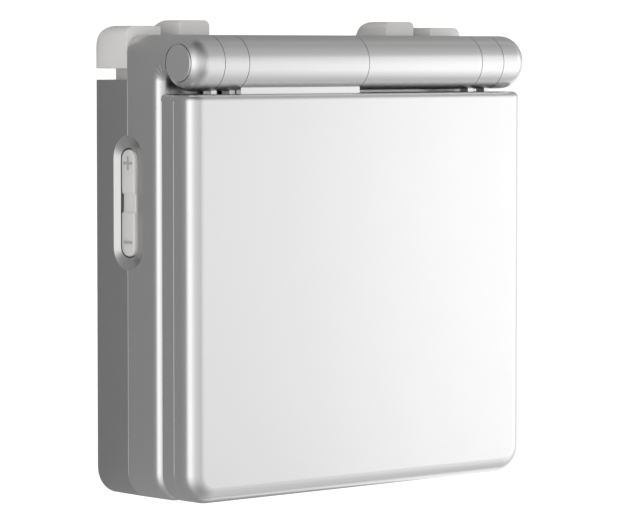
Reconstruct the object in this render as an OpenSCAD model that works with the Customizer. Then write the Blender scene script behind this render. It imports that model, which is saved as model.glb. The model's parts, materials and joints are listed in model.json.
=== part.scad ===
// Clamshell handheld game console, closed.
// X runs across the width, Y from the front wall to the hinge, Z up from the underside.
// Two shells make the base, a cover and a bezel make the lid, and a five-part barrel joins them.

/* [Base] */
// Width of the base
base_w = 85; // [83:0.5:90]
// Length of the base from its front wall to its end wall
base_l = 85.2; // [84:0.2:90]
// Height of the bottom shell, from the underside to the seam
bottom_h = 9.4; // [9.2:0.1:10.6]
// Height of the top shell, from the seam to the face with the controls
top_h = 9.2; // [9:0.1:10.4]
// Wall of the base shells
wall = 1.6; // [1.4:0.1:1.8]
// Plan radius of the front corners of base and lid
corner_r = 5.3; // [4.8:0.1:6.5]
// Radius of the rounded edges of the face
edge_r = 2.2; // [1.8:0.1:2.4]
// Radius of the rounded edges of the ears and of the end wall beside them
ear_edge_r = 3.3; // [2.6:0.1:3.6]
// Radius of the rounded edge round the underside
foot_r = 0.4; // [0.3:0.1:1]
// How far the sides of the bottom shell lean in at the underside
side_lean = 0.1; // [0:0.05:0.4]
// Radius of the fine edges where two shells meet at a seam
seam_r = 0.14; // [0.1:0.02:0.2]
// Depth of the sunken field that holds the controls
field_depth = 0.8; // [0.6:0.1:1]

/* [Lid] */
// Gap between the closed lid and the base's face
lid_gap = 0.25; // [0.2:0.05:0.5]
// Height of the bezel that frames the screen
bezel_h = 3.55; // [3.4:0.05:4.2]
// Height of the outer lid cover
cover_h = 5; // [4.8:0.1:6]
// Wall of the lid cover
cover_wall = 1.3; // [1.1:0.1:1.5]
// How far the lid's sides stand in from the base's sides
lid_inset = 0.1; // [0.05:0.05:0.4]
// Radius of the long rounded edges of the lid cover
cover_edge_r = 3; // [2.6:0.1:3.4]
// Radius of the lid cover's edge beside the hinge
cover_rear_r = 1.2; // [0.8:0.1:1.6]

/* [Hinge] */
// Radius of the hinge barrel
barrel_r = 5.1; // [4.9:0.05:5.3]
// Height of the hinge axis above the base's face
axis_above_face = 4.98; // [4.9:0.02:5.1]
// Width of each ear at the ends of the barrel
ear_w = 7.1; // [6.5:0.1:8]
// Width of the ring beside each ear, which turns with the lid
ring_w = 5.8; // [5:0.1:6.5]
// Gap at the seams between the barrel's parts
barrel_seam = 0.12; // [0.1:0.02:0.2]
// Gap between the lid's rear edge and the barrel
lid_hinge_gap = 0.53; // [0.4:0.05:0.9]
// Radius of the hinge pin and shaft
pin_r = 1.5; // [1.3:0.05:1.7]
// Running clearance round the hinge pin and shaft
pin_play = 0.05; // [0.03:0.01:0.08]
// Radius of the hollow inside the barrel
barrel_bore_r = 3.9; // [3.7:0.05:4]
// Radius of the round cap in each ear
cap_r = 3.4; // [3:0.1:3.6]

/* [Controls] */
// Gap round a button in its opening
button_gap = 0.15; // [0.1:0.05:0.25]
// Travel of the buttons on the face
face_travel = 0.7; // [0.5:0.05:0.7]
// Radius of the four action buttons
action_r = 3.5; // [3.1:0.1:3.8]
// Distance of each action button from the centre of the four
action_pitch = 7.4; // [6.8:0.1:8]
// Distance of the action and directional centres from the base's sides
pad_x = 17.5; // [16.5:0.5:18.5]
// Distance of the action and directional centres from the front wall
pad_from_front = 52; // [48:0.5:54]
// Length of the directional pad across its arms
dpad_l = 19; // [17:0.5:20]
// Width of the directional pad's arms
dpad_arm_w = 6.2; // [5.6:0.2:7]
// Length of the start and select buttons
pill_l = 6.4; // [5.6:0.2:7]
// Width of the start and select buttons
pill_w = 2.8; // [2.4:0.1:3]
// Distance of the start and select buttons from the middle line
pill_x = 6; // [5.5:0.5:8]
// Distance of the start and select buttons from the front wall
pill_from_front = 28; // [26:0.5:30]
// Radius of the round menu button
menu_r = 2.6; // [2.2:0.1:3]
// Distance of the menu button from the front wall
menu_from_front = 40; // [38:0.5:41]
// Length of the volume rocker
rocker_l = 19.6; // [18:0.2:22]
// Width of the volume rocker
rocker_w = 3.4; // [3:0.1:3.8]
// Width of the sloping rim round the volume rocker
rocker_rim_w = 2.45; // [2:0.05:2.6]
// Depth of the sloping rim round the volume rocker
rocker_rim_d = 0.8; // [0.6:0.1:0.9]
// Distance of the rocker's centre from the front wall
rocker_y = 54.5; // [48:0.5:56]
// Width of the outer shoulder keys
key1_w = 8.1; // [7.6:0.1:8.6]
// Width of the inner shoulder keys
key2_w = 7.4; // [7:0.1:8]
// Distance from the base's side to the inner shoulder key
key2_from_side = 12.65; // [12.4:0.1:13.2]
// How far the outer keys stand out of the end wall
key1_out = 1.7; // [1.2:0.1:2]
// How far the inner keys stand out of the end wall
key2_out = 2.8; // [2.4:0.1:3]
// Travel of the shoulder keys
key_travel = 0.8; // [0.5:0.1:1]
// Radius that rounds the underside up into the end wall, at the keys and between them
key_foot_r = 4; // [3:0.1:4.4]
// Plan radius of the outer keys' outer corner
key1_r = 1.7; // [1.2:0.1:2.2]
// Plan radius of the inner keys' corners
key2_r = 1.1; // [0.8:0.1:1.6]
// Length of the power button
power_l = 9; // [8:0.5:10]
// Width of the power and reset buttons
side_button_w = 2.6; // [2.2:0.1:3]
// Travel of the power and reset buttons
side_button_travel = 0.5; // [0.3:0.1:0.6]

/* [Inside] */
// Diagonal of the screen in millimetres
screen_diag = 88.9; // [84:0.1:89.5]
// Cover glass beyond the picture at its sides
glass_side = 1.2; // [1:0.1:1.4]
// Cover glass beyond the picture at its ends
glass_end = 3.2; // [2:0.1:3.4]
// Thickness of the cover glass
glass_t = 0.9; // [0.7:0.1:1]
// Thickness of the main board
board_t = 1.2; // [1:0.1:1.6]
// Width of the battery
battery_w = 54; // [44:1:56]
// Length of the battery
battery_l = 38; // [32:1:40]
// Thickness of the battery
battery_t = 5; // [4:0.2:6]
// Width of each speaker
speaker_w = 18; // [16:0.5:19]
// Length of each speaker
speaker_l = 12; // [10:0.5:13]
// Height of each speaker
speaker_h = 3.6; // [3:0.1:3.8]
// Radius of the headphone jack's bore
jack_r = 1.775; // [1.775:0.005:1.8]
// Length of the headphone jack
jack_l = 13.6; // [13:0.2:14.4]
// Width of the memory card
card_w = 12; // [11.5:0.5:12.5]
// Radius of the case screws' shanks
screw_r = 0.85; // [0.7:0.05:1]
// Radius of the case screws' heads
screw_head_r = 1.7; // [1.5:0.05:1.8]
// Radius of the columns that take the case screws
column_r = 2.4; // [2.2:0.1:2.6]

/* [Hidden] */
$fn = 96;
eps = 0.5;                       // overshoot of cutting tools past the solid they cut

// Main planes and lines
side_x = base_w / 2;
front_y = -(base_l + key2_out) / 2;
end_y = front_y + base_l;
seam_z = bottom_h;
face_z = bottom_h + top_h;
field_z = face_z - field_depth;
top_ceiling_z = face_z - wall - 0.1;
hinge_y = end_y - barrel_r;
hinge_z = face_z + axis_above_face;
ear_x = side_x - ear_w;          // inner side of the ears
ring_x = ear_x - ring_w;         // inner side of the rings
half_seam = barrel_seam / 2;

// Hollow corner between the face and the ears' barrel
hollow_r = 0.5;
hollow_z = face_z + hollow_r;
hollow_y = hinge_y - micron(sqrt(pow(barrel_r + hollow_r, 2) - pow(hinge_z - hollow_z, 2)));
// Far ends of the rays that part the hollow corner into sectors, from the seam round to the axis
hollow_fan = concat([[hollow_y, seam_z], [hinge_y, seam_z]],
    [for (a = [-50 : 20 : 30]) [hinge_y, micron(hollow_z + (hinge_y - hollow_y) * tan(a))]],
    [[hinge_y, hinge_z]]);

// Lid planes
lid_x = side_x - lid_inset;
lid_y0 = front_y + 0.2;
lid_y1 = hinge_y - barrel_r - lid_hinge_gap;
lid_l = lid_y1 - lid_y0;
bezel_z = face_z + lid_gap;
cover_z = bezel_z + bezel_h;
lid_top_z = cover_z + cover_h;
neck_top_z = lid_top_z - 1.3;
neck_z = cover_z + 0.1;
rib_w = 1.3;
rib_h = 2.2;

// Screen, with its four to three picture, and what lies round it
screen_w = screen_diag * 0.8;
screen_l = screen_diag * 0.6;
screen_y = (lid_y0 + lid_y1) / 2 + 1;
window_margin = 0.6;
glass_w = screen_w + 2 * glass_side;
glass_l = screen_l + 2 * glass_end;
glass_gap = 0.05;
glass_sink = 0.15;               // how far the glass sits below the bezel's face
panel_t = 2.4;
panel_w = screen_w + 1;
panel_l = screen_l + 6;
panel_gap = 0.1;
panel_bed = 1.2;                 // how deep the panel sits in the bezel

// Lid screws, halfway between the glass and the lid's ends
lid_screw_x = lid_x - 4.1;
lid_screw_y = [micron((lid_y0 + screen_y - glass_l / 2) / 2),
    micron((lid_y1 + screen_y + glass_l / 2) / 2)];
lid_screw_spots = [for (x = [-1, 1], y = lid_screw_y) [x * lid_screw_x, y]];
lid_screw_r = 0.6;
lid_screw_head_r = 1.3;

// Magnet in front of the panel, over the sensor beside the headphone jack
magnet_w = 8;
magnet_l = 2.3;
magnet_h = 2;
sensor_w = 1.6;
sensor_l = 2.8;

// Trough under the turning barrel parts
trough_r = barrel_r + 0.3;

// Shoulder keys
key_gap = 0.15;
key_z0 = 0.25;
key_z1 = seam_z - 0.2;
key1_y0 = end_y - 6.1;           // front of the outer key's block
pocket1_y0 = key1_y0 - 2.1;      // shell wall in front of the outer key
key2_y0 = end_y - 5;
pocket2_y0 = key2_y0 - key_travel - 0.3;
stem_l = 2.4;                    // how far the keys' stems reach inside
stem_w = 4;
stem_z0 = 2.2;
switch_l = 2.6;
switch_z0 = 3.4;
key1_x0 = side_x - key1_w;
key2_x0 = side_x - key2_from_side - key2_w;
stem1_x = key1_x0 + 1;
stem2_x = key2_x0 + (key2_w - stem_w) / 2;

// Board and columns
board_z = seam_z + 0.4;
board_top = board_z + board_t;
board_gap = 1;
board_y0 = front_y + 21;
board_y1 = pocket1_y0 - wall - 1;
front_screw_x = side_x - wall - column_r - 2.3;
rear_screw_x = key2_x0 - key_gap - wall - column_r - 0.7;
screw_spots = [for (s = [-1, 1]) each [[s * front_screw_x, front_y + 5.8],
    [s * rear_screw_x, end_y - 4.6]]];
screw_head_h = 1.1;
battery_y = front_y + 41;

// Controls on the face
pad_cx = side_x - pad_x;
pad_y = front_y + pad_from_front;
field_y0 = front_y + 6;
field_y1 = hinge_y - trough_r - 3.4;
field_x = side_x - 4.5;
button_top_z = face_z - 0.08;
dpad_top_z = face_z - 0.45;      // lower, so that the arm that tips up stays under the lid
flange_t = 0.9;
pivot_r = 2;
flange_out = 0.8;
flange_z = top_ceiling_z - flange_t;
button_bottom_z = board_top + 2.4 + face_travel;
pill_y = front_y + pill_from_front;
menu_y = front_y + menu_from_front;
action_spots = [[0, 1], [1, 0], [0, -1], [-1, 0]];
grille_y = front_y + 13;
grille_x = pad_cx;
light_y = field_y1 - 4;
light_r = 0.7;

// Rocker recess
rocker_recess_l = rocker_l + 2 * (button_gap + rocker_rim_w);
rocker_recess_w = rocker_w + 2 * (button_gap + rocker_rim_w);
rocker_face_x = side_x - 0.05;
rocker_cy = front_y + rocker_y;
rocker_flange = 3.2;             // depth of the rocker's flange under its face
rocker_flange_t = 0.8;
rocker_switch_x = -side_x + 5.7;
pad_in = 1;                      // wall pad behind the rocker's recess

// Ports
usb_x = -6.5;
usb_w = 8.9;
usb_h = 3.2;
usb_z = board_top + usb_h / 2 + 0.1;
jack_z = board_top + 2.7;
jack_body_w = 5.6;
card_y = front_y + 26;
card_h = 1.3;
sensor_x = jack_body_w / 2 + 0.8;
card_reader_l = 14;
card_reader_w = 15;
card_reader_h = 1.8;

// Side buttons on the right
power_y = front_y + 55;
reset_y = front_y + 43;
reset_l = 3.2;
side_button_z = seam_z + 4;
side_button_top = 0.1;           // how far the side buttons stay under the side

// Friction cartridge
cartridge_l = 15.5;
cartridge_base = 4.5;
disc_t = 1;

// Silicone membranes
membrane_t = 0.8;
dome_h = 1.4;
dpad_dome_h = 2;

// A derived length rounded to a thousandth, so that faces meant to meet do meet
function micron(v) = round(v * 1000) / 1000;

// ---------- Section and slab helpers ----------

// Region between a quarter arc and the square corner outside it
module outside_arc(r, a0, a1) {
    mid = (a0 + a1) / 2;
    difference() {
        polygon([[0, 0], 1.5 * r * [cos(a0), sin(a0)],
            2.2 * r * [cos(mid), sin(mid)], 1.5 * r * [cos(a1), sin(a1)]]);
        circle(r);
    }
}

// Section through a shell's edge: outer face on the right, rounded above and below
module edge_section(depth, h, top_r, low_r, lean) {
    a = atan(lean / h);
    low_x = depth - micron(lean + low_r * (1 - sin(a)) / cos(a));
    top_x = depth - micron(lean * top_r / h + top_r / cos(a));
    difference() {
        polygon([[0, 0], [depth - lean, 0], [depth, h], [0, h]]);
        if (top_r > 0) translate([top_x, h - top_r]) outside_arc(top_r, -a, 90);
        if (low_r > 0) translate([low_x, low_r]) outside_arc(low_r, -90, -a);
    }
}

// Lays a section drawn in X-Z out along +Y
module along_y(l) {
    rotate([90, 0, 0]) mirror([0, 0, 1]) linear_extrude(l) children();
}

// Lays a profile drawn in Y-Z out along +X
module along_x(l) {
    rotate([90, 0, 90]) linear_extrude(l) children();
}

// Slab with its front wall on Y = 0, two round front corners and a square rear end
module front_block(w, l, h, r, top_r = 0, low_r = 0, lean = 0) {
    for (s = [0, 1])
        mirror([s, 0, 0]) translate([w / 2 - r, r, 0]) rotate([0, 0, -90])
            rotate_extrude(angle = 90) edge_section(r, h, top_r, low_r, lean);
    translate([-(w / 2 - r), r, 0]) mirror([0, 1, 0])
        along_x(w - 2 * r) edge_section(r, h, top_r, low_r, lean);
    translate([0, r, 0]) along_y(l - r)
        for (s = [0, 1]) mirror([s, 0]) edge_section(w / 2, h, top_r, low_r, lean);
}

// Flat slab with four round corners, centred on X and Y
module round_slab(w, l, h, r) {
    linear_extrude(h) rounded(w, l, r);
}

module rounded(w, l, r) {
    square([w - 2 * r, l], center = true);
    square([w, l - 2 * r], center = true);
    for (x = [-1, 1], y = [-1, 1]) translate([x * (w / 2 - r), y * (l / 2 - r)]) circle(r);
}

// Slot with half-round ends, long along Y
module stadium(l, w) {
    square([w, l - w], center = true);
    for (s = [-1, 1]) translate([0, s * (l - w) / 2]) circle(d = w);
}

module cyl_x(r, x0, x1) {
    translate([x0, hinge_y, hinge_z]) rotate([0, 90, 0]) cylinder(r = r, h = x1 - x0);
}

module both_sides() {
    children();
    mirror([1, 0, 0]) children();
}

// ---------- Ears and barrel ----------

// Region below the lines from the axis to the end wall and to the hollow's centre, in Y-Z
module below_barrel() {
    far = 2 * barrel_r;
    polygon([[hinge_y, hinge_z], [hinge_y + far, hinge_z], [hinge_y + far, hinge_z - far],
        [hollow_y, hinge_z - far], [hollow_y, hollow_z]]);
}

// Quadrilateral between the face, the axis and the hollow's centre, in Y-Z
module hollow_quad() {
    polygon([[hollow_y, seam_z], [hinge_y, seam_z], [hinge_y, hinge_z], [hollow_y, hollow_z]]);
}

// Side profile of the ears and of the fixed barrel
module ear_profile() {
    difference() {
        translate([hinge_y, hinge_z]) rotate(-90) circle(barrel_r);
        below_barrel();
    }
    translate([hinge_y, seam_z]) square([barrel_r, hinge_z - seam_z]);
    difference() {
        hollow_quad();
        translate([hollow_y, hollow_z]) rotate(180) circle(hollow_r);
    }
}

// Turns a solid revolved about Z so that it is revolved about X, at a place in Y-Z
module about_x(y, z, turn) {
    translate([0, y, z]) rotate([90, 0, 90]) rotate([0, 0, turn]) children();
}

// Outer layer of an ear, as deep as its edge radius, with its edge rounded all along
module ear_edge_layer() {
    r = ear_edge_r;
    // over the barrel
    difference() {
        about_x(hinge_y, hinge_z, -90) rotate_extrude() edge_section(barrel_r, r, r, 0, 0);
        translate([-1, 0, 0]) along_x(r + 2) below_barrel();
    }
    // up the end wall
    translate([0, hinge_y, seam_z]) linear_extrude(hinge_z - seam_z)
        rotate([0, 0, 90]) mirror([0, 1]) edge_section(barrel_r, r, r, 0, 0);
    // round the hollow corner, where the edge radius grows from the face's to the ear's
    steps = len(hollow_fan) - 1;
    for (i = [0 : steps - 1]) {
        e = micron(edge_r + (ear_edge_r - edge_r) * i / (steps - 1));
        intersection() {
            along_x(r) polygon([[hollow_y, hollow_z], hollow_fan[i], hollow_fan[i + 1]]);
            about_x(hollow_y, hollow_z, 180) rotate_extrude() difference() {
                translate([hollow_r, 0]) square([2 * barrel_r + hollow_r, r + 1]);
                translate([hollow_r + e, r - e]) outside_arc(e, 90, 180);
            }
        }
    }
}

// Left ear, from the seam up
module ear() {
    translate([ear_x + half_seam, 0, 0]) along_x(ear_w - half_seam - ear_edge_r) ear_profile();
    translate([side_x - ear_edge_r, 0, 0]) ear_edge_layer();
}

// Cuts through an ear: seat of its cap and bore of its pin
module ear_bores() {
    cyl_x(cap_r + 0.08, side_x - 1.2, side_x + eps);
    cyl_x(pin_r + pin_play, ear_x - eps, side_x - 1);
}

// ---------- Openings ----------

// Room for the shoulder keys, widened by grow for the walls round them
module key_pockets(grow, z0, z1) {
    both_sides() {
        translate([key1_x0 - key_gap - grow, pocket1_y0 - grow, z0])
            cube([key1_w + 10, 20, z1 - z0]);
        translate([key2_x0 - key_gap - grow, pocket2_y0 - grow, z0])
            cube([key2_w + 2 * key_gap + 2 * grow, 20, z1 - z0]);
    }
}

module rocker_cut() {
    s = rocker_recess_l - rocker_recess_w;
    r = rocker_recess_w / 2;
    translate([-side_x, rocker_cy, seam_z]) rotate([0, 90, 0]) {
        // sloping rim
        for (e = [-1, 1]) translate([0, e * s / 2, 0])
            cylinder(r1 = r, r2 = r - rocker_rim_w, h = rocker_rim_d);
        translate([0, -s / 2, 0]) along_y(s)
            polygon([[-r, 0], [r, 0], [r - rocker_rim_w, rocker_rim_d],
                [rocker_rim_w - r, rocker_rim_d]]);
        // the opening for the rocker
        translate([0, 0, -1]) linear_extrude(6)
            stadium(rocker_l + 2 * button_gap, rocker_w + 2 * button_gap);
        translate([0, 0, -1]) linear_extrude(1.01) stadium(rocker_recess_l, rocker_recess_w);
    }
}

module rocker_pad(h0, h1) {
    translate([-side_x + wall - 0.2, rocker_cy - rocker_recess_l / 2 - 1, h0])
        cube([pad_in + 0.2, rocker_recess_l + 2, h1 - h0]);
}

module screw_columns(z0, z1, r) {
    for (p = screw_spots) translate([p[0], p[1], z0]) cylinder(r = r, h = z1 - z0);
}

// ---------- Base shells ----------

// What the rounding between the underside and the end wall takes off, or fills inside
module rear_foot(r) {
    translate([-side_x - 1, end_y - key_foot_r, key_foot_r])
        along_x(base_w + 2) outside_arc(r, -90, 0);
}

module bottom_shell() {
    color("silver") difference() {
        union() {
            difference() {
                translate([0, front_y, 0])
                    front_block(base_w, base_l, bottom_h, corner_r, seam_r, foot_r, side_lean);
                rear_foot(key_foot_r);
                difference() {
                    translate([0, front_y + wall, wall])
                        front_block(base_w - 2 * wall, base_l - 2 * wall, bottom_h,
                            corner_r - wall, 0, 0.6, 0);
                    rear_foot(key_foot_r - wall);
                    key_pockets(wall - 0.2, 0, bottom_h + 1);
                    rocker_pad(wall, bottom_h + 1);
                }
            }
            screw_columns(wall - 0.2, board_z - 0.05, column_r);
        }
        key_pockets(0, -eps, bottom_h + eps);
        // slots for the stems of the keys
        both_sides() for (k = [[stem1_x, pocket1_y0], [stem2_x, pocket2_y0]])
            translate([k[0] - key_gap, k[1] - wall - eps, stem_z0 - 0.2])
                cube([stem_w + 2 * key_gap, wall + 2 * eps, bottom_h]);
        rocker_cut();
        screw_columns(-eps, board_z + 1, screw_r + 0.1);
        screw_columns(-eps, screw_head_h + 1, screw_head_r + 0.15);
        // mouth of the card slot
        translate([side_x - 6, card_y - card_w / 2 - 0.2, bottom_h - card_h - 0.2])
            cube([10, card_w + 0.4, 5]);
    }
}

// Sunken field, and the openings for everything that comes up through the face
module face_openings() {
    translate([0, (field_y0 + field_y1) / 2, field_z])
        round_slab(2 * field_x, field_y1 - field_y0, 2, 5);
    low = top_ceiling_z - 3;
    translate([-pad_cx, pad_y, low]) linear_extrude(6) dpad_plan(button_gap + 0.15);
    for (p = action_spots)
        translate([pad_cx + p[0] * action_pitch, pad_y + p[1] * action_pitch, low])
            cylinder(r = action_r + button_gap, h = 6);
    for (s = [-1, 1]) translate([s * pill_x, pill_y, low]) rotate([0, 0, 90])
        linear_extrude(6) stadium(pill_l + 2 * button_gap, pill_w + 2 * button_gap);
    translate([0, menu_y, low]) cylinder(r = menu_r + button_gap, h = 6);
    // speaker slots
    both_sides() for (i = [-3:3])
        translate([grille_x + i * 2.2, grille_y, low]) linear_extrude(6) stadium(8 - abs(i), 0.9);
    translate([0, light_y, low]) cylinder(r = light_r + 0.1, h = 6);
}

module top_shell_body() {
    difference() {
        union() {
            translate([0, front_y, seam_z])
                front_block(base_w, hollow_y - front_y, top_h, corner_r, edge_r);
            translate([-ear_x - 1, hollow_y, seam_z])
                cube([2 * ear_x + 2, end_y - hollow_y, top_h]);
            both_sides() ear();
            translate([half_seam, 0, 0]) along_x(ring_x - barrel_seam) ear_profile();
        }
        // trough that clears the parts turning with the lid
        cyl_x(trough_r, -ear_x - half_seam, half_seam);
        cyl_x(trough_r, ring_x - half_seam, ear_x + half_seam);
        difference() {
            translate([0, front_y + wall, seam_z - 1])
                front_block(base_w - 2 * wall, base_l - 2 * wall, top_ceiling_z - seam_z + 1,
                    corner_r - wall, edge_r - wall + 0.4);
            key_pockets(wall - 0.2, seam_z - 2, seam_z + 1.4);
            rocker_pad(seam_z - 2, seam_z + rocker_recess_w / 2 + 1);
            ceiling_columns();
            // solid ends of the hinge
            both_sides() translate([ear_x - 0.5, hollow_y, seam_z + 1.4]) cube([20, 20, 20]);
        }
    }
}

// Screw columns that hang from the ceiling; the rear pair stop at the board
module ceiling_columns() {
    for (p = screw_spots) {
        low_z = p[1] < 0 ? board_z : board_top + 0.05;
        translate([p[0], p[1], low_z]) cylinder(r = column_r, h = face_z - low_z);
    }
}

module top_shell() {
    color("silver") difference() {
        top_shell_body();
        both_sides() ear_bores();
        // hollow of the fixed barrel, and the ribbon's way down from it
        cyl_x(barrel_bore_r, half_seam + 1.4, ring_x - half_seam + eps);
        cyl_x(2.6, -eps, 4);
        translate([2.4, hinge_y - 1, top_ceiling_z - 1]) cube([7, 2, hinge_z - top_ceiling_z + 1]);
        face_openings();
        rocker_cut();
        screw_columns(board_z - 1, top_ceiling_z + 0.4, screw_r + 0.05);
        // charging port in the end wall
        translate([usb_x, end_y - wall - 3, usb_z]) along_y(wall + 4)
            rotate(90) stadium(usb_w + 0.4, usb_h + 0.4);
        // headphone jack in the front wall
        translate([0, front_y - eps, jack_z]) rotate([-90, 0, 0])
            cylinder(r = jack_r + 0.9, h = wall + 2 * eps + 1);
        // side buttons
        translate([side_x - wall - 2, power_y, side_button_z]) rotate([0, 90, 0])
            linear_extrude(8) stadium(power_l + 2 * button_gap, side_button_w + 2 * button_gap);
        translate([side_x - wall - 2, reset_y, side_button_z]) rotate([0, 90, 0])
            linear_extrude(8) stadium(reset_l + 2 * button_gap, side_button_w + 2 * button_gap);
    }
}

// ---------- Hinge ----------

module hinge_cap() {
    translate([side_x - 1.1, hinge_y, hinge_z]) rotate([0, 90, 0])
        rotate_extrude() edge_section(cap_r, 1, 0.15, 0, 0);
}

module hinge_cap_left() {
    color("lightgray") mirror([1, 0, 0]) hinge_cap();
}

module hinge_cap_right() {
    color("lightgray") hinge_cap();
}

// Fixed in the left ear; the left ring and the ribbon barrel turn on it
module hinge_pin_left() {
    color("gray") cyl_x(pin_r, -side_x + 1.2, -ring_x + 3);
}

// Turns with the right ring, whose hexagonal hole holds it; round at both ends
module hinge_shaft_right() {
    color("gray") {
        cyl_x(pin_r, ring_x - cartridge_l + 1.5, ring_x);
        translate([ring_x, hinge_y, hinge_z]) rotate([0, 90, 0])
            cylinder(r = pin_r + 0.9, h = ring_w, $fn = 6);
        cyl_x(pin_r, ear_x, side_x - 2.2);
    }
}

// Cartridge with stacked friction discs, held still in the fixed barrel
module friction_hinge() {
    x0 = ring_x - cartridge_l;
    x1 = x0 + cartridge_base;
    color("dimgray") difference() {
        union() {
            cyl_x(barrel_bore_r - 0.05, x0, x1);
            for (i = [0:4])
                cyl_x(barrel_bore_r - 0.5, x1 + 2 * i * disc_t, x1 + (2 * i + 1) * disc_t);
            cyl_x(barrel_bore_r - 1, x1, x1 + 9 * disc_t);
            cyl_x(barrel_bore_r - 0.05, x1 + 9 * disc_t, ring_x - half_seam);
        }
        cyl_x(pin_r + pin_play, x0 + 1.3, ring_x + eps);
    }
}

// ---------- Lid ----------

// Rear end of the lid cover: its edge is rounded over the sides and the top
module cover_rear(w, h, r_long, r_rear) {
    l = r_rear;
    both_sides() {
        translate([w / 2 - r_long, 0, h - r_long]) rotate([90, 0, 0]) mirror([0, 0, 1])
            rotate_extrude(angle = 90) edge_section(r_long, l, l, 0, 0);
        translate([w / 2 - r_long, 0, 0]) linear_extrude(h - r_long)
            edge_section(r_long, l, l, 0, 0);
    }
    translate([-(w / 2 - r_long), 0, 0]) along_x(w - 2 * r_long)
        rotate(-90) mirror([1, 0]) edge_section(h, l, l, 0, 0);
}

module lid_cover_body() {
    translate([0, lid_y0, cover_z]) {
        front_block(2 * lid_x, lid_l - cover_rear_r, cover_h, corner_r, cover_edge_r);
        translate([0, lid_l - cover_rear_r, 0])
            cover_rear(2 * lid_x, cover_h, cover_edge_r, cover_rear_r);
    }
}

// One ring of the barrel with the two ribs that carry it
module lid_ring() {
    difference() {
        union() {
            cyl_x(barrel_r, ring_x + half_seam, ear_x - half_seam);
            for (x = [ring_x + half_seam, ear_x - half_seam - rib_w])
                translate([x, lid_y1 - 0.3, cover_z])
                    cube([rib_w, hinge_y - lid_y1 - barrel_r / 2, rib_h]);
        }
        children();
    }
}

module lid_cover() {
    color("whitesmoke") {
        difference() {
            lid_cover_body();
            difference() {
                translate([0, lid_y0 + cover_wall, cover_z - 1])
                    front_block(2 * (lid_x - cover_wall), lid_l - 2 * cover_wall,
                        cover_h - cover_wall + 1, corner_r - cover_wall,
                        cover_edge_r - cover_wall);
                for (p = lid_screw_spots) translate([p[0], p[1], cover_z])
                    cylinder(r = lid_screw_head_r + 0.7, h = cover_h);
            }
            for (p = lid_screw_spots) translate([p[0], p[1], cover_z - eps])
                cylinder(r = lid_screw_r + 0.05, h = 2.8 + eps);
            // notch for the ribbon barrel's neck
            translate([-ring_x + half_seam, lid_y1 - cover_wall - eps, cover_z - eps])
                cube([ring_x - barrel_seam, cover_wall + 2 * eps, neck_top_z - cover_z + eps]);
        }
        mirror([1, 0, 0]) lid_ring()
            cyl_x(pin_r + pin_play, ring_x - eps, ear_x + eps);
        lid_ring()
            translate([ring_x - eps, hinge_y, hinge_z]) rotate([0, 90, 0])
                cylinder(r = pin_r + 0.92, h = ring_w + 2 * eps, $fn = 6);
    }
}

// Left half of the barrel: hollow, with the flat neck that joins it to the lid
module ribbon_barrel() {
    x0 = -ring_x + half_seam;
    x1 = -half_seam;
    color("whitesmoke") difference() {
        union() {
            cyl_x(barrel_r, x0, x1);
            translate([x0 + 0.05, lid_y1 - cover_wall, neck_z])
                cube([x1 - x0 - 0.1, hinge_y - lid_y1 + cover_wall - barrel_r / 2,
                    neck_top_z - neck_z - 0.05]);
        }
        cyl_x(barrel_bore_r, x0 + 1.4, x1 - 1.4);
        cyl_x(pin_r + pin_play, x0 - eps, x0 + 2);
        cyl_x(2.6, x1 - 2, x1 + eps);
        // way through the neck for the ribbon
        translate([x0 + 5, lid_y1 - cover_wall - eps, neck_z + 0.8])
            cube([x1 - x0 - 10, hinge_y - lid_y1 + cover_wall - 1, 1.2]);
    }
}

module lid_bezel() {
    w = 2 * lid_x;
    color("silver") difference() {
        union() {
            translate([0, lid_y0, bezel_z]) {
                front_block(w, lid_l - cover_rear_r, bezel_h, corner_r, seam_r, 0.5);
                translate([0, lid_l - cover_rear_r, 0]) linear_extrude(bezel_h) {
                    translate([-w / 2 + cover_rear_r, 0])
                        square([w - 2 * cover_rear_r, cover_rear_r]);
                    for (s = [-1, 1]) intersection() {
                        translate([s * (w / 2 - cover_rear_r), 0]) circle(cover_rear_r);
                        translate([-w, 0]) square([2 * w, 2 * cover_rear_r]);
                    }
                }
            }
        }
        // seat of the glass on the inner side, the window, and the panel's bed behind it
        translate([0, screen_y, bezel_z - eps])
            round_slab(glass_w + 2 * glass_gap, glass_l + 2 * glass_gap,
                glass_t + glass_sink + eps, 2 + glass_gap);
        translate([0, screen_y, bezel_z]) round_slab(screen_w + 2 * window_margin,
            screen_l + 2 * window_margin, bezel_h + eps, 1);
        translate([0, screen_y, cover_z - panel_bed])
            round_slab(panel_w + 2 * panel_gap, panel_l + 2 * panel_gap, panel_bed + eps, 1);
        for (p = lid_screw_spots) translate([p[0], p[1], bezel_z - eps]) {
            cylinder(r = lid_screw_r + 0.15, h = bezel_h + 2 * eps);
            cylinder(r = lid_screw_head_r + 0.15, h = 1.3 + eps);
        }
    }
}

module screen_glass() {
    color("black") translate([0, screen_y, bezel_z + glass_sink])
        round_slab(glass_w, glass_l, glass_t, 2);
}

module lcd_panel() {
    color("darkslategray") {
        translate([0, screen_y, bezel_z + glass_sink + glass_t])
            round_slab(screen_w + 0.8, screen_l + 0.8,
                bezel_h - glass_sink - glass_t - panel_bed, 0.8);
        translate([0, screen_y, cover_z - panel_bed]) round_slab(panel_w, panel_l, panel_t, 0.8);
    }
}

// Soft pads beside the glass that meet the base when the lid is shut
module lid_bumpers() {
    color("dimgray") for (p = lid_screw_spots)
        translate([p[0], p[1], bezel_z - lid_gap / 2 - 0.025])
            cylinder(r = lid_screw_head_r + 0.1, h = 0.45);
}

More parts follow.
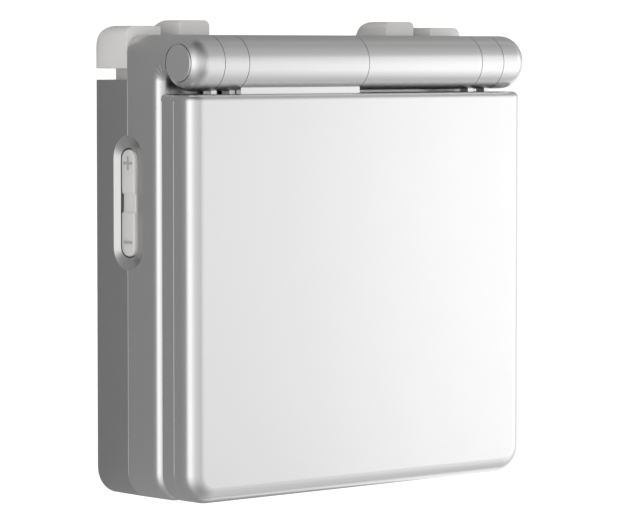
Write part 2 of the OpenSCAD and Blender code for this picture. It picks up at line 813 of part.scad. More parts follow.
module lid_screws() {
    color("gray") for (p = lid_screw_spots) translate([p[0], p[1], bezel_z + 0.5]) {
        cylinder(r = lid_screw_head_r, h = 0.8);
        cylinder(r = lid_screw_r, h = bezel_h + 1.8);
    }
}

module lid_magnet() {
    color("gray")
        translate([sensor_x + sensor_w / 2 - magnet_w / 2, lid_y0 + cover_wall + 0.3, cover_z + 0.05])
            cube([magnet_w, magnet_l, magnet_h]);
}

// Display ribbon: flat through the neck, then rolled inside the barrel
module display_ribbon_lid() {
    x0 = -ring_x + half_seam;
    color("goldenrod") {
        translate([x0 + 5.3, lid_y1 - 12, neck_z + 1.3])
            cube([ring_x - 11, 12 + hinge_y - lid_y1 - 2.2, 0.2]);
        difference() {
            cyl_x(2.3, x0 + 5.3, -half_seam - 0.3);
            cyl_x(2.1, x0 + 5, -half_seam);
        }
    }
}

module display_ribbon_base() {
    color("goldenrod") {
        difference() {
            cyl_x(2.3, half_seam + 0.3, 9);
            cyl_x(2.1, 0, 9.5);
        }
        translate([2.7, hinge_y - 0.1, board_top + 1]) cube([6, 0.2, hinge_z - board_top - 3.1]);
        translate([2.2, hinge_y - 1.2, board_top]) cube([7, 2.4, 1.2]);
    }
}

// ---------- Inside the base ----------

module board_plan() {
    w = 2 * (side_x - wall - board_gap - pad_in);
    tab = rear_screw_x + 1.9;
    translate([-w / 2, board_y0]) square([w, board_y1 - board_y0]);
    translate([-jack_body_w, front_y + wall + 0.6])
        square([2 * jack_body_w, board_y0 - front_y - wall]);
    translate([-tab, board_y1 - 1]) square([2 * tab, end_y - wall - 1 - board_y1]);
}

module main_board() {
    color("darkgreen") difference() {
        translate([0, 0, board_z]) linear_extrude(board_t) board_plan();
        screw_columns(board_z - eps, board_top + eps, screw_r + 0.4);
        // room for the volume rocker
        translate([-side_x, rocker_cy - rocker_recess_l / 2, board_z - eps])
            cube([5.5, rocker_recess_l, board_t + 2 * eps]);
    }
    color("black") {
        translate([-6, menu_y + menu_r + 1.2, board_top]) cube([12, 8, 1]);
        translate([-5, menu_y + menu_r + 10.2, board_top]) cube([10, 4, 0.8]);
    }
}

module battery() {
    color("slategray") translate([0, battery_y, wall + 0.3])
        round_slab(battery_w, battery_l, battery_t, 1.5);
}

module case_screws() {
    color("gray") for (p = screw_spots) translate([p[0], p[1], 0.5]) {
        cylinder(r = screw_head_r, h = screw_head_h);
        cylinder(r = screw_r, h = board_top + 3.6);
    }
}

module dpad_membrane() {
    color("gray") translate([-pad_cx, pad_y, board_top]) {
        round_slab(dpad_l - 1, dpad_l - 1, membrane_t, 3);
        for (p = action_spots) translate([p[0] * dpad_l / 3, p[1] * dpad_l / 3, membrane_t])
            cylinder(r1 = 2.2, r2 = 1.8, h = dpad_dome_h);
    }
}

module button_membrane() {
    across = 2 * (action_pitch + action_r + 0.6);
    color("gray") translate([pad_cx, pad_y, board_top]) {
        round_slab(across, across, membrane_t, 3);
        for (p = action_spots) translate([p[0] * action_pitch, p[1] * action_pitch, membrane_t])
            cylinder(r1 = action_r - 0.9, r2 = action_r - 1.3, h = dome_h);
    }
    color("gray") translate([0, pill_y, board_top]) {
        round_slab(2 * pill_x + pill_l + 3.6, pill_w + 3.2, membrane_t, 2);
        for (s = [-1, 1]) translate([s * pill_x, 0, membrane_t])
            cylinder(r1 = pill_w / 2 + 0.2, r2 = pill_w / 2 - 0.1, h = dome_h);
    }
    color("gray") translate([0, menu_y, board_top]) {
        round_slab(2 * menu_r + 0.8, 2 * menu_r + 0.8, membrane_t, 2);
        translate([0, 0, membrane_t]) cylinder(r1 = menu_r - 0.8, r2 = menu_r - 1.1, h = dome_h);
    }
}

module speakers() {
    color("dimgray") both_sides()
        translate([grille_x, grille_y, top_ceiling_z - speaker_h - 1]) {
            round_slab(speaker_w, speaker_l, speaker_h, 2);
            translate([0, 0, speaker_h]) round_slab(speaker_w - 3, speaker_l - 3, 0.5, 2);
        }
}

module speaker_mesh() {
    color("black") both_sides()
        translate([grille_x, grille_y, top_ceiling_z - 0.4])
            round_slab(speaker_w - 1, speaker_l - 1, 0.35, 2);
}

module usb_c_port() {
    color("lightgray") translate([usb_x, end_y - wall - 6.8, usb_z]) {
        difference() {
            along_y(7.4) rotate(90) stadium(usb_w, usb_h);
            translate([0, 0.8, 0]) along_y(7.4) rotate(90) stadium(usb_w - 0.6, usb_h - 0.6);
        }
        translate([-3.3, 0.5, -0.35]) cube([6.6, 5.6, 0.7]);
    }
}

module headphone_jack() {
    color("black") translate([0, front_y + wall + 0.05, 0]) difference() {
        union() {
            translate([-jack_body_w / 2, 0.6, board_top])
                cube([jack_body_w, jack_l - 0.6, 2 * (jack_z - board_top)]);
            translate([0, -wall + 0.2, jack_z]) rotate([-90, 0, 0])
                cylinder(r = jack_r + 0.75, h = wall);
        }
        translate([0, -wall, jack_z]) rotate([-90, 0, 0]) cylinder(r = jack_r, h = jack_l + wall - 1);
    }
}

module card_slot() {
    color("lightgray") translate([side_x - wall - card_reader_w - 0.2,
        card_y - card_reader_l / 2, board_z - card_reader_h - 0.1]) difference() {
        cube([card_reader_w, card_reader_l, card_reader_h]);
        translate([1, (card_reader_l - card_w) / 2 + 0.4, 0.3])
            cube([card_reader_w, card_w - 0.8, 1]);
    }
}

module shoulder_switches() {
    color("black") both_sides() {
        for (k = [[stem1_x, pocket1_y0], [stem2_x, pocket2_y0]])
            translate([k[0] + 0.2, k[1] - stem_l - key_travel - 0.1 - switch_l, switch_z0])
                cube([stem_w - 0.4, switch_l, board_z - switch_z0]);
    }
}

module rocker_switch() {
    color("black") for (s = [-1, 1])
        translate([rocker_switch_x, rocker_cy + s * 0.3 * rocker_l - 1.6, board_top])
            cube([2.4, 3.2, 2.2]);
}

module side_switches() {
    color("black") for (y = [power_y, reset_y])
        translate([side_x - wall - 3.7, y - 1.5, board_top]) cube([1.7, 3, 3.4]);
}

module lid_sensor() {
    color("black") translate([sensor_x, front_y + wall + 1.6, board_top])
        cube([sensor_w, sensor_l, 1]);
}

module status_light() {
    color("white") translate([0, light_y, board_top]) {
        cylinder(r = 2 * light_r, h = 3.5);
        cylinder(r = light_r, h = field_z - board_top - 0.1);
    }
}

// ---------- Controls ----------

module dpad_plan(grow) {
    l = dpad_l + 2 * grow;
    w = dpad_arm_w + 2 * grow;
    rounded(l, w, 0.8 + grow);
    rounded(w, l, 0.8 + grow);
}

module dpad() {
    color("dimgray") translate([-pad_cx, pad_y, 0]) difference() {
        union() {
            translate([0, 0, flange_z - 0.8]) linear_extrude(dpad_top_z - flange_z + 0.8)
                dpad_plan(0);
            translate([0, 0, flange_z - 0.8]) cylinder(r = dpad_l / 2 + flange_out, h = flange_t);
        }
        // dished top
        translate([0, 0, dpad_top_z + 15.6]) sphere(r = 16);
        translate([0, 0, flange_z - 1.8]) cylinder(r = pivot_r + 0.6, h = 2.6);
    }
}

module dpad_pivot() {
    color("gray") translate([-pad_cx, pad_y, board_top + membrane_t + 0.4])
        cylinder(r = pivot_r, h = flange_z - board_top - 1.4);
}

module face_button(r, crown) {
    translate([0, 0, button_bottom_z + 0.1]) {
        rotate_extrude() edge_section(r, button_top_z - button_bottom_z - 0.1, crown, 0, 0);
    }
    translate([0, 0, flange_z - 0.15]) cylinder(r = r + flange_out, h = flange_t);
}

module action_button(i) {
    p = action_spots[i];
    color("dimgray") translate([pad_cx + p[0] * action_pitch, pad_y + p[1] * action_pitch, 0])
        face_button(action_r, 0.4);
}

module button_north() { action_button(0); }
module button_east() { action_button(1); }
module button_south() { action_button(2); }
module button_west() { action_button(3); }

module pill_button(x) {
    color("dimgray") translate([x, pill_y, 0]) {
        translate([0, 0, button_bottom_z + 0.1]) rotate([0, 0, 90])
            linear_extrude(button_top_z - button_bottom_z - 0.1) stadium(pill_l, pill_w);
        translate([0, 0, flange_z - 0.15]) rotate([0, 0, 90]) linear_extrude(flange_t)
            stadium(pill_l + 2 * flange_out, pill_w + 2 * flange_out);
    }
}

module select_button() { pill_button(-pill_x); }
module start_button() { pill_button(pill_x); }

module menu_button() {
    color("dimgray") translate([0, menu_y, 0]) face_button(menu_r, 0.3);
}

module side_button(y, l) {
    color("lightgray") translate([side_x - wall - 1.2, y, side_button_z]) rotate([0, 90, 0]) {
        linear_extrude(wall + 1.2 - side_button_top) stadium(l, side_button_w);
        translate([0, 0, 0.1]) linear_extrude(0.8) stadium(l + 1.4, side_button_w + 1.4);
    }
}

module power_button() { side_button(power_y, power_l); }
module reset_button() { side_button(reset_y, reset_l); }

// Part of a shoulder key's block between two Y values, rounded up from its underside at the rear
module key_block(y0, y1) {
    intersection() {
        translate([0, 0, key_z0]) linear_extrude(key_z1 - key_z0) children();
        translate([key2_x0 - 1, 0, 0]) along_x(side_x) difference() {
            translate([y0, key_z0]) square([y1 - y0, key_z1 - key_z0]);
            translate([y1 - key_foot_r, key_z0 + key_foot_r]) outside_arc(key_foot_r, -90, 0);
        }
    }
}

// Stem that carries a key's push from its block through the shell's wall
module key_stem(x0, wall_y, y1) {
    translate([x0, wall_y - stem_l, stem_z0])
        cube([stem_w, y1 - wall_y + stem_l, key_z1 - stem_z0 - 0.2]);
}

// Outer shoulder key: its block forms the corner of the base
module outer_key() {
    y1 = end_y + key1_out;
    color("gainsboro") {
        key_block(key1_y0, y1) {
            translate([key1_x0, key1_y0]) square([key1_w - key1_r, y1 - key1_y0]);
            translate([side_x - key1_r, key1_y0]) square([key1_r, y1 - key1_y0 - key1_r]);
            translate([side_x - key1_r, y1 - key1_r]) circle(key1_r);
        }
        key_stem(stem1_x, pocket1_y0, key1_y0 + 0.1);
    }
}

module inner_key() {
    y1 = end_y + key2_out;
    color("gainsboro") {
        key_block(key2_y0, y1)
            translate([key2_x0 + key2_w / 2, (key2_y0 + y1) / 2])
                rounded(key2_w, y1 - key2_y0, key2_r);
        key_stem(stem2_x, pocket2_y0, key2_y0 + 0.6);
    }
}

module shoulder_l1() { mirror([1, 0, 0]) outer_key(); }
module shoulder_r1() { outer_key(); }
module shoulder_l2() { mirror([1, 0, 0]) inner_key(); }
module shoulder_r2() { inner_key(); }

module volume_rocker() {
    dip = [0.45, 1.55, 1.9];         // depth, and half its length at the bottom and at the face
    color("gainsboro") difference() {
        translate([-rocker_face_x, rocker_cy, seam_z]) rotate([0, 90, 0]) {
            linear_extrude(rocker_flange + rocker_flange_t / 2) stadium(rocker_l, rocker_w);
            translate([0, 0, rocker_flange]) linear_extrude(rocker_flange_t)
                stadium(rocker_l + 2 * flange_out, rocker_w + 2 * flange_out);
        }
        // dip across the middle
        translate([-rocker_face_x, rocker_cy, seam_z - rocker_w]) linear_extrude(2 * rocker_w)
            polygon([[-eps, -dip[2]], [0, -dip[2]], [dip[0], -dip[1]], [dip[0], dip[1]],
                [0, dip[2]], [-eps, dip[2]]]);
    }
}

bottom_shell();
top_shell();
lid_cover();
lid_bezel();
ribbon_barrel();
hinge_cap_left();
hinge_cap_right();
hinge_pin_left();
hinge_shaft_right();
friction_hinge();
screen_glass();
lcd_panel();
lid_bumpers();
lid_magnet();
lid_screws();
display_ribbon_lid();
display_ribbon_base();
main_board();
battery();
case_screws();
dpad_membrane();
button_membrane();
speakers();
speaker_mesh();
usb_c_port();
headphone_jack();
card_slot();
shoulder_switches();
rocker_switch();
side_switches();
lid_sensor();
status_light();
dpad();
dpad_pivot();
button_north();
button_east();
button_south();
button_west();
start_button();
select_button();
menu_button();
power_button();
reset_button();
shoulder_l1();
shoulder_l2();
shoulder_r1();
shoulder_r2();
volume_rocker();
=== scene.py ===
"""Clamshell handheld game console: looks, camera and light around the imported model.

X runs across the width, Y from the front wall to the hinge and Z up, in metres.
"""

import json
import math

import bmesh
import bpy
from mathutils import Matrix, Vector

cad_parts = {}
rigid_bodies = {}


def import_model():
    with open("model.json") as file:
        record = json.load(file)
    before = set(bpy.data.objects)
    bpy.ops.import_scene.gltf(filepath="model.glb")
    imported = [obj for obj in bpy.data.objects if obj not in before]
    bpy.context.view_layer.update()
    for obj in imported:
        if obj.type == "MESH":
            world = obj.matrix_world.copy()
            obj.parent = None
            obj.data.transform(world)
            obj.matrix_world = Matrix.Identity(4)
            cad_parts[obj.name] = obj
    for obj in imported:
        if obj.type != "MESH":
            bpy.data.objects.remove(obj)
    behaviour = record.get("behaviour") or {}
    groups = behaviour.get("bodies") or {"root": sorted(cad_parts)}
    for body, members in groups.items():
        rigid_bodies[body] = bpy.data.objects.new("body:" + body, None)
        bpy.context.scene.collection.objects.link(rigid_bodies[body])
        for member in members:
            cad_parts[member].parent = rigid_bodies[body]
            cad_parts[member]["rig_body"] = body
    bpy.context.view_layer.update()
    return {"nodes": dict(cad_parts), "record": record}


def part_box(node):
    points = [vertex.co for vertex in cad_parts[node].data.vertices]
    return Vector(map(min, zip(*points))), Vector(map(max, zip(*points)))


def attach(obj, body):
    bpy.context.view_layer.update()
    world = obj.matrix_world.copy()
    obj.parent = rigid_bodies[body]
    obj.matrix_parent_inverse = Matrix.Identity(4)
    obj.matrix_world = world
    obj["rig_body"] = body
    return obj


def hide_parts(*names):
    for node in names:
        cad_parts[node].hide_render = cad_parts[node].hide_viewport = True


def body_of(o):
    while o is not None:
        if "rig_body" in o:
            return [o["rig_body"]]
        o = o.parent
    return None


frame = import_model()

MM = 0.001

# Width of the photograph's frame, in pixels
FRAME_W = 617

# Camera: its place, its turn about Y and its pitch away from looking straight down, both in
# radians, and its focal length in pixels of the photograph
CAMERA_AT = Vector((-452.88, 37.87, 515.91)) * MM
CAMERA_TURN = 0.7317
CAMERA_PITCH = 0.0594
CAMERA_FOCAL = 3560.03
SENSOR_W = 36.0

# Floor: its grey is lit and catches the shadow, and its white shows to the camera
FLOOR_HALF = 4.0
FLOOR_BELOW = 0.1 * MM       # how far it lies below the console
FLOOR_GREY = 0.37
FLOOR_WHITE = 0.93
GLOSSY_SHARE = 0.06          # how much of the white surroundings the console's metal reflects
BRIGHT_FROM = 42 * MM        # X from which the metal reflects more of the floor's white,
BRIGHT_TO = 50 * MM          # and X from which it reflects all of it
FADE_FROM = 40 * MM          # behind this Y the second X moves outwards,
FADE_TO = 60 * MM            # until at this Y
FADED = 1.0                  # it is here

# Soft glows of the studio walls and ceiling: azimuth, elevation, sharpness and radiance
GLOWS = (
    (0, 90, 6, 0.90),        # ceiling
    (180, 55, 8, 0.50),      # left wall, high
    (180, 20, 8, 1.90),      # left wall, low: the bright line along the rounded edges
    (135, 20, 8, 0.40),      # left corner, behind
    (-135, 20, 8, 0.50),     # left corner, in front
    (0, 20, 8, 1.25),        # right wall
    (45, 20, 8, 0.50),       # right corner, behind
    (-45, 20, 8, 0.80),      # right corner, in front
    (-90, 10, 8, 0.35),      # front wall
)
FILL = (180, 5, 2, 0.5)      # broad glow from the left that lights only what isn't metal

# Softbox up on the right, which the lid reflects: rows of square panels, and along each row
# Y grows
BOX_MIDDLE = Vector((174, -20, 220)) * MM
BOX_AWAY = Vector((0.67, -0.06, 0.74)).normalized()    # from the console towards the box
BOX_NEXT_ROW = Vector((0.74, 0, -0.67)).normalized()
PANEL = 75 * MM
ROW_RADIANCE = (0.6, 0.35, 0.8, 1.0)      # from the upper left to the lower right
PLACE_IN_ROW = (0.35, 0.95, 1.0, 0.75)    # share of it along the row, from front to back

# Grain of the materials
GRAIN_HEIGHT = 0.05 * MM
PATCH_COARSER = 40           # how much coarser the patches of roughness are than the grain

# Screen: the border's share of the glass's width and length, and the two colours
BORDER_ACROSS = 0.022
BORDER_ALONG = 0.07
BORDER_BLACK = (0.002, 0.002, 0.002)
PICTURE_GREY = (0.022, 0.024, 0.026)

# Broken edges of the moulded pieces
KEY_EDGE = 0.45 * MM
ROCKER_EDGE = 0.3 * MM
SIDE_BUTTON_EDGE = 0.2 * MM
CONTROL_EDGE = 0.35 * MM
SHARP = math.radians(35)     # an edge that turns by more than this is broken
EVEN = math.radians(1)       # faces that turn by less than this are joined first,
WELD = 0.001 * MM            # and so are points this close

# Sloping rim round the rocker: in the solids, and its stand-in's share of that
RIM_DEPTH = 0.8 * MM
RIM_REACH = 4.35 * MM        # from the rocker's middle line to the rim's outer edge
RIM_START = 0.1 * MM         # the outer edge lies within this of the side's face
RIM_DEPTH_SHARE = 0.45
RIM_SIDE_SHARE = 0.76        # of the width, along the rocker's sides
RIM_TIP_SHARE = 0.95         # of the width, round its tips
RIM_LEAN = math.radians(29)  # how steep the stand-in's rim shades
FLAT = 0.9995                # a face whose normal has more of X than this is the flat side,
UPRIGHT = 0.3                # and one with less than this is the wall of the opening
NEAR = 0.01 * MM

# Rocker: its stand-in's face is wider on its lower half, and bears a sign at each end
FACE_DEEP = 0.6 * MM         # the face and the dip in its middle lie within this depth
ROCKER_WIDER = 0.24 * MM
PLUS_AT = Vector((0, 17.8, 9.36)) * MM
MINUS_AT = Vector((0, 3.3, 9.36)) * MM
SIGN_REACH = 2.5 * MM
SIGN_STROKE = 0.5 * MM
SIGN_THICKNESS = 0.03 * MM
SIGN_SUNK = 0.01 * MM        # how much of the thickness lies in the rocker


# ---------- Node helpers ----------

def feed(tree, node, values):
    """Give a node its inputs in order, each a plain value or another node's output."""
    for socket, value in zip(node.inputs, values):
        if isinstance(value, bpy.types.NodeSocket):
            tree.links.new(value, socket)
        else:
            socket.default_value = value


def maths(tree, operation, *values):
    node = tree.nodes.new("ShaderNodeMath")
    node.operation = operation
    feed(tree, node, values)
    return node.outputs[0]


def ramp(tree, value, start, end, low, high):
    """Output that goes from low to high while value goes from start to end."""
    node = tree.nodes.new("ShaderNodeMapRange")
    feed(tree, node, (value, start, end, low, high))
    return node.outputs["Result"]


def noise(tree, coords, scale, detail):
    node = tree.nodes.new("ShaderNodeTexNoise")
    node.inputs["Scale"].default_value = scale
    node.inputs["Detail"].default_value = detail
    tree.links.new(coords, node.inputs["Vector"])
    return node.outputs["Fac"]


def mixed(tree, share, first, second):
    """Colour output that goes from the first colour to the second as share goes to 1."""
    node = tree.nodes.new("ShaderNodeMix")
    node.data_type = "RGBA"
    node.inputs["A"].default_value = (*first, 1)
    node.inputs["B"].default_value = (*second, 1)
    tree.links.new(share, node.inputs["Factor"])
    return node.outputs["Result"]


def along_axes(tree, kind):
    """Outputs X, Y and Z of one kind of texture coordinate."""
    coords = tree.nodes.new("ShaderNodeTexCoord")
    split = tree.nodes.new("ShaderNodeSeparateXYZ")
    tree.links.new(coords.outputs[kind], split.inputs[0])
    return split.outputs


def seen_directly(tree, glossy):
    """Output that is 1 for camera and transmission rays, and glossy for glossy rays."""
    ray = tree.nodes.new("ShaderNodeLightPath").outputs
    reflected = maths(tree, "MULTIPLY", ray["Is Glossy Ray"], glossy)
    seen = maths(tree, "MAXIMUM", ray["Is Camera Ray"], reflected)
    return maths(tree, "MAXIMUM", seen, ray["Is Transmission Ray"])


# ---------- Camera, floor and light ----------

def add_object(name, data):
    made = bpy.data.objects.new(name, data)
    bpy.context.scene.collection.objects.link(made)
    return made


def make_camera():
    data = bpy.data.cameras.new("camera")
    data.sensor_width = SENSOR_W
    data.lens = CAMERA_FOCAL / FRAME_W * SENSOR_W
    data.clip_start = 0.01
    camera = add_object("camera", data)
    turn, pitch = CAMERA_TURN, CAMERA_PITCH
    forward = Vector((math.sin(turn) * math.cos(pitch), -math.sin(pitch),
                      -math.cos(turn) * math.cos(pitch)))
    right = Vector((math.cos(turn), 0, math.sin(turn)))
    up = right.cross(forward)
    axes = Matrix((right, up, -forward)).transposed()
    camera.matrix_world = Matrix.Translation(CAMERA_AT) @ axes.to_4x4()
    bpy.context.scene.camera = camera


def floor_finish():
    made = bpy.data.materials.new("floor")
    made.use_nodes = True
    tree = made.node_tree
    tree.nodes.clear()
    # the metal reflects little of the white, but all of it from the floor to its right
    at = along_axes(tree, "Object")
    bright_to = ramp(tree, at["Y"], FADE_FROM, FADE_TO, BRIGHT_TO, FADED)
    share = ramp(tree, at["X"], BRIGHT_FROM, bright_to, GLOSSY_SHARE, 1.0)
    strength = maths(tree, "MULTIPLY", seen_directly(tree, share), FLOOR_WHITE)
    white = tree.nodes.new("ShaderNodeEmission")
    feed(tree, white, ((1, 1, 1, 1), strength))
    lit = tree.nodes.new("ShaderNodeBsdfDiffuse")
    lit.inputs["Color"].default_value = (FLOOR_GREY, FLOOR_GREY, FLOOR_GREY, 1)
    both = tree.nodes.new("ShaderNodeAddShader")
    feed(tree, both, (lit.outputs[0], white.outputs[0]))
    out = tree.nodes.new("ShaderNodeOutputMaterial")
    tree.links.new(both.outputs[0], out.inputs["Surface"])
    return made


def make_floor():
    mesh = bpy.data.meshes.new("floor")
    half = FLOOR_HALF
    mesh.from_pydata([(-half, -half, 0), (half, -half, 0), (half, half, 0), (-half, half, 0)],
                     [], [(0, 1, 2, 3)])
    mesh.materials.append(floor_finish())
    floor = add_object("floor", mesh)
    floor.location.z = -FLOOR_BELOW


def glow(tree, direction, azimuth, elevation, sharpness, radiance):
    """Output with one glow: radiance * exp(sharpness * (cosine to its middle - 1))."""
    turn, rise = math.radians(azimuth), math.radians(elevation)
    middle = (math.cos(rise) * math.cos(turn), math.cos(rise) * math.sin(turn), math.sin(rise))
    cosine = tree.nodes.new("ShaderNodeVectorMath")
    cosine.operation = "DOT_PRODUCT"
    feed(tree, cosine, (direction, middle))
    power = maths(tree, "MULTIPLY_ADD", cosine.outputs["Value"], sharpness,
                  math.log(radiance) - sharpness)
    return maths(tree, "EXPONENT", power)


def make_world():
    world = bpy.data.worlds.new("studio")
    bpy.context.scene.world = world
    world.use_nodes = True
    tree = world.node_tree
    tree.nodes.clear()
    direction = tree.nodes.new("ShaderNodeTexCoord").outputs["Generated"]
    diffuse = tree.nodes.new("ShaderNodeLightPath").outputs["Is Diffuse Ray"]
    total = maths(tree, "MULTIPLY", glow(tree, direction, *FILL), diffuse)
    for settings in GLOWS:
        total = maths(tree, "ADD", total, glow(tree, direction, *settings))
    light = tree.nodes.new("ShaderNodeBackground")
    tree.links.new(total, light.inputs["Strength"])
    backdrop = tree.nodes.new("ShaderNodeBackground")
    mix = tree.nodes.new("ShaderNodeMixShader")
    feed(tree, mix, (seen_directly(tree, GLOSSY_SHARE), light.outputs[0], backdrop.outputs[0]))
    out = tree.nodes.new("ShaderNodeOutputWorld")
    tree.links.new(mix.outputs[0], out.inputs["Surface"])


def make_softbox():
    along = BOX_AWAY.cross(BOX_NEXT_ROW)
    rows, places = len(ROW_RADIANCE), len(PLACE_IN_ROW)
    for i, radiance in enumerate(ROW_RADIANCE):
        for j, share in enumerate(PLACE_IN_ROW):
            data = bpy.data.lights.new(f"panel_{i}{j}", "AREA")
            data.shape = "SQUARE"
            data.size = PANEL
            data.energy = radiance * share * math.pi * PANEL ** 2
            panel = add_object(data.name, data)
            off = (i - (rows - 1) / 2) * BOX_NEXT_ROW + (j - (places - 1) / 2) * along
            panel.location = BOX_MIDDLE + off * PANEL
            panel.rotation_euler = BOX_AWAY.to_track_quat("Z", "Y").to_euler()
            panel.visible_camera = False


# ---------- Materials ----------

def finish(name, color, metallic, roughness, grain, bump, tint=0.0, **settings):
    """Material with a fine moulded or blasted grain, from noise in the object's own space.

    The grain makes the bumps and tints the color up and down by the share tint. Coarser noise
    runs the roughness between its two values. Settings go to the shader's inputs.
    """
    made = bpy.data.materials.new(name)
    made.use_nodes = True
    tree = made.node_tree
    shader = tree.nodes["Principled BSDF"]
    shader.inputs["Base Color"].default_value = (*color, 1)
    shader.inputs["Metallic"].default_value = metallic
    for key, value in settings.items():
        shader.inputs[key.replace("_", " ")].default_value = value

    coords = tree.nodes.new("ShaderNodeTexCoord").outputs["Object"]
    fine = noise(tree, coords, grain, detail=3)
    bumps = tree.nodes.new("ShaderNodeBump")
    bumps.inputs["Strength"].default_value = bump
    bumps.inputs["Distance"].default_value = GRAIN_HEIGHT
    tree.links.new(fine, bumps.inputs["Height"])
    tree.links.new(bumps.outputs["Normal"], shader.inputs["Normal"])
    coarse = noise(tree, coords, grain / PATCH_COARSER, detail=4)
    tree.links.new(ramp(tree, coarse, 0.0, 1.0, *roughness), shader.inputs["Roughness"])
    if tint:
        darker = [c * (1 - tint) for c in color]
        lighter = [min(1, c * (1 + tint)) for c in color]
        tree.links.new(mixed(tree, fine, darker, lighter), shader.inputs["Base Color"])
    return made


def satin_silver(name, grey):
    return finish(name, grey, 1.0, (0.27, 0.33), grain=4200, bump=0.12, tint=0.03)


def screen_glass():
    """Glass with a black border printed behind it, round a picture area of its own grey."""
    made = finish("screen_glass", (0.006, 0.006, 0.007), 0.0, (0.05, 0.08), grain=2000,
                  bump=0.0, Coat_Weight=1.0, Coat_Roughness=0.03)
    tree = made.node_tree
    at = along_axes(tree, "Generated")
    across = maths(tree, "COMPARE", at["X"], 0.5, 0.5 - BORDER_ACROSS)
    along = maths(tree, "COMPARE", at["Y"], 0.5, 0.5 - BORDER_ALONG)
    inside = maths(tree, "MULTIPLY", across, along)
    tree.links.new(mixed(tree, inside, BORDER_BLACK, PICTURE_GREY),
                   tree.nodes["Principled BSDF"].inputs["Base Color"])
    return made


def make_materials():
    """Materials by the record's slot names, with the stand-ins' own."""
    silver = satin_silver("satin_silver", (0.70, 0.70, 0.70))
    steel = finish("steel", (0.45, 0.45, 0.46), 1.0, (0.25, 0.4), grain=2500, bump=0.2, tint=0.05)
    return {
        "shell": silver,
        "lid_shell": silver,
        # the bottom shell's silver is the same finish made darker than on the top shell and lid:
        # painted shade, for the darker lower half of the sides
        "base_shell": satin_silver("satin_silver_base_painted_shade", (0.56, 0.56, 0.56)),
        "cap": satin_silver("satin_silver_cap", (0.76, 0.76, 0.765)),
        "steel": steel,
        "port_steel": steel,
        "screen": screen_glass(),
        "key_plastic": finish("key_plastic", (0.88, 0.87, 0.85), 0.0, (0.45, 0.55), grain=3000,
                              bump=0.25, tint=0.02, Subsurface_Weight=0.5,
                              Subsurface_Scale=2 * MM, Subsurface_Radius=(1, 1, 1)),
        "control": finish("control_plastic", (0.07, 0.07, 0.075), 0.0, (0.4, 0.5), grain=3000,
                          bump=0.2, tint=0.05),
        "mark": finish("mark_paint", (0.5, 0.5, 0.5), 0.0, (0.45, 0.55), grain=3000, bump=0.1),
        "black_plastic": finish("black_plastic", (0.02, 0.02, 0.02), 0.0, (0.45, 0.6),
                                grain=2500, bump=0.2, tint=0.1),
        "silicone": finish("silicone", (0.12, 0.12, 0.125), 0.0, (0.65, 0.8), grain=2500,
                           bump=0.3, tint=0.05),
        "board": finish("solder_mask", (0.01, 0.12, 0.05), 0.0, (0.3, 0.45), grain=900,
                        bump=0.3, tint=0.15),
        "ribbon": finish("ribbon_film", (0.5, 0.25, 0.04), 0.0, (0.25, 0.4), grain=1500,
                         bump=0.1, tint=0.1),
        "battery": finish("battery_foil", (0.3, 0.31, 0.33), 0.6, (0.3, 0.5), grain=700,
                          bump=0.5, tint=0.05),
        "mesh": finish("dust_mesh", (0.03, 0.03, 0.03), 0.0, (0.7, 0.9), grain=6000,
                       bump=0.8, tint=0.4),
        "light_pipe": finish("light_pipe", (0.8, 0.8, 0.8), 0.0, (0.15, 0.25), grain=1500,
                             bump=0.05),
    }


def dress_nodes(materials):
    for part in frame["record"]["subparts"]:
        for slot in frame["nodes"][part["node"]].material_slots:
            slot.material = materials[part["material_slot"]]


# ---------- Stand-ins for CAD nodes ----------

def stand_in(name, suffix):
    """Copy of a CAD node that rides on the node's body and replaces it."""
    node = frame["nodes"][name]
    piece = add_object(f"{name}_{suffix}", node.data.copy())
    piece.data.materials.clear()
    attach(piece, body_of(node)[0])
    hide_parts(name)
    return piece


def widen_face(mesh):
    """Widen the rocker's face on its lower half, tapering to nothing inside."""
    low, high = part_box("volume_rocker")
    middle_z = (low[2] + high[2]) / 2
    lower = [vert for vert in mesh.verts
             if vert.co.x < low[0] + FACE_DEEP and vert.co.z < middle_z]
    half = middle_z - min(vert.co.z for vert in lower)
    for vert in lower:
        vert.co.z = middle_z + (vert.co.z - middle_z) * (1 + ROCKER_WIDER / half)


def mould(name, edge, slot_name, materials, reshape=None):
    """The same solid, reshaped if asked, with its sharp edges broken as moulding does."""
    piece = stand_in(name, "moulded")
    piece.data.materials.append(materials[slot_name])
    mesh = bmesh.new()
    mesh.from_mesh(piece.data)
    bmesh.ops.remove_doubles(mesh, verts=mesh.verts, dist=WELD)
    bmesh.ops.dissolve_limit(mesh, angle_limit=EVEN, verts=mesh.verts, edges=mesh.edges)
    if reshape:
        reshape(mesh)
    for face in mesh.faces:
        face.smooth = True
        face.material_index = 0
    mesh.to_mesh(piece.data)
    mesh.free()
    bevel = piece.modifiers.new("edges", "BEVEL")
    bevel.width = edge
    bevel.segments = 3
    bevel.limit_method = "ANGLE"
    bevel.angle_limit = SHARP
    bevel.harden_normals = True


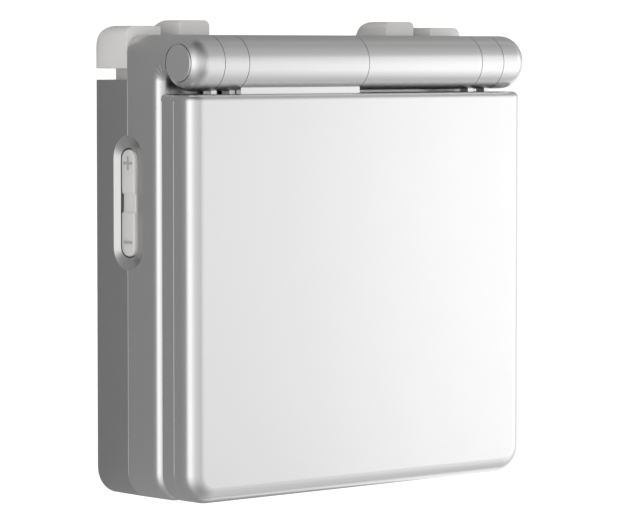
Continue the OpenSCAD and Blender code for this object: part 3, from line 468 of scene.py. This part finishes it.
def reshape_rim(data, side_x):
    """Make the rim round the rocker shallower and narrower.

    Returns, for each vertex of the rim, its direction away from the rocker's middle line.
    """
    low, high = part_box("volume_rocker")
    middle_y, middle_z = (low[1] + high[1]) / 2, (low[2] + high[2]) / 2
    line_half = (high[1] - low[1] - (high[2] - low[2])) / 2
    outward = {}
    for vertex in data.vertices:
        x, y, z = vertex.co
        nearest = min(max(y, middle_y - line_half), middle_y + line_half)
        radial = Vector((0, y - nearest, z - middle_z))
        depth, away = x - side_x, radial.normalized()
        if RIM_START < depth < RIM_DEPTH + NEAR and radial.length < RIM_REACH:
            share = RIM_SIDE_SHARE + (RIM_TIP_SHARE - RIM_SIDE_SHARE) * away.y ** 2
            vertex.co += away * (RIM_REACH - radial.length) * (1 - share)
            vertex.co.x = side_x + depth * RIM_DEPTH_SHARE
            outward[vertex.index] = away
        elif depth <= RIM_START and radial.length < RIM_REACH + RIM_START:
            outward[vertex.index] = away
    data.update()
    return outward


def rim_shell(name, slot_name, materials):
    """A base shell with the reshaped rim, which has the top shell's silver on both shells; the
    bottom shell's own darker silver is painted shade.
    """
    data = stand_in(name, "rimmed").data
    data.materials.append(materials[slot_name])
    data.materials.append(materials["shell"])
    normals = [Vector(normal.vector) for normal in data.corner_normals]
    outward = reshape_rim(data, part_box("top_shell")[0][0])
    for face in data.polygons:
        in_rim = (UPRIGHT < abs(face.normal.x) < FLAT
                  and all(index in outward for index in face.vertices))
        face.material_index = int(in_rim)
        if in_rim:
            for corner, index in zip(face.loop_indices, face.vertices):
                normals[corner] = (Vector((-math.cos(RIM_LEAN), 0, 0))
                                   - math.sin(RIM_LEAN) * outward[index])
    data.normals_split_custom_set(normals)


def make_stand_ins(materials):
    rim_shell("bottom_shell", "base_shell", materials)
    rim_shell("top_shell", "shell", materials)
    for name in ("shoulder_l1", "shoulder_l2", "shoulder_r1", "shoulder_r2"):
        mould(name, KEY_EDGE, "key_plastic", materials)
    mould("volume_rocker", ROCKER_EDGE, "key_plastic", materials, widen_face)
    for name in ("power_button", "reset_button"):
        mould(name, SIDE_BUTTON_EDGE, "key_plastic", materials)
    for name in ("button_north", "button_east", "button_south", "button_west",
                 "start_button", "select_button", "menu_button", "dpad"):
        mould(name, CONTROL_EDGE, "control", materials)


# ---------- Signs on the rocker ----------

def bar_outline(length, width):
    """Rectangle in Y and Z, with its length along Y."""
    y, z = length / 2, width / 2
    return [(-y, -z), (y, -z), (y, z), (-y, z)]


def cross_outline(reach, stroke):
    """Cross in Y and Z: the end of one arm and the inner corner after it, four times round."""
    arm, half = reach / 2, stroke / 2
    corners = [(arm, -half), (arm, half), (half, half)]
    outline = []
    for _ in range(4):
        outline += corners
        corners = [(-z, y) for y, z in corners]
    return outline


def make_sign(name, outline, middle, paint):
    """Thin plate on the rocker's face, which looks to -X."""
    mesh = bmesh.new()
    back = mesh.faces.new([mesh.verts.new((0, y, z)) for y, z in outline])
    grown = bmesh.ops.extrude_face_region(mesh, geom=[back])["geom"]
    bmesh.ops.translate(mesh, vec=(-SIGN_THICKNESS, 0, 0),
                        verts=[item for item in grown if isinstance(item, bmesh.types.BMVert)])
    bmesh.ops.recalc_face_normals(mesh, faces=mesh.faces)
    data = bpy.data.meshes.new(name)
    mesh.to_mesh(data)
    mesh.free()
    data.materials.append(paint)
    piece = add_object(name, data)
    piece.location = middle
    piece.location.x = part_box("volume_rocker")[0][0] + SIGN_SUNK
    bpy.context.view_layer.update()
    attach(piece, "volume_rocker")


# ---------- Scene ----------

make_camera()
make_floor()
make_world()
make_softbox()
all_materials = make_materials()
dress_nodes(all_materials)
make_stand_ins(all_materials)
make_sign("rocker_plus", cross_outline(SIGN_REACH, SIGN_STROKE), PLUS_AT, all_materials["mark"])
make_sign("rocker_minus", bar_outline(SIGN_STROKE, SIGN_REACH), MINUS_AT, all_materials["mark"])
bpy.context.scene.view_settings.view_transform = "Standard"
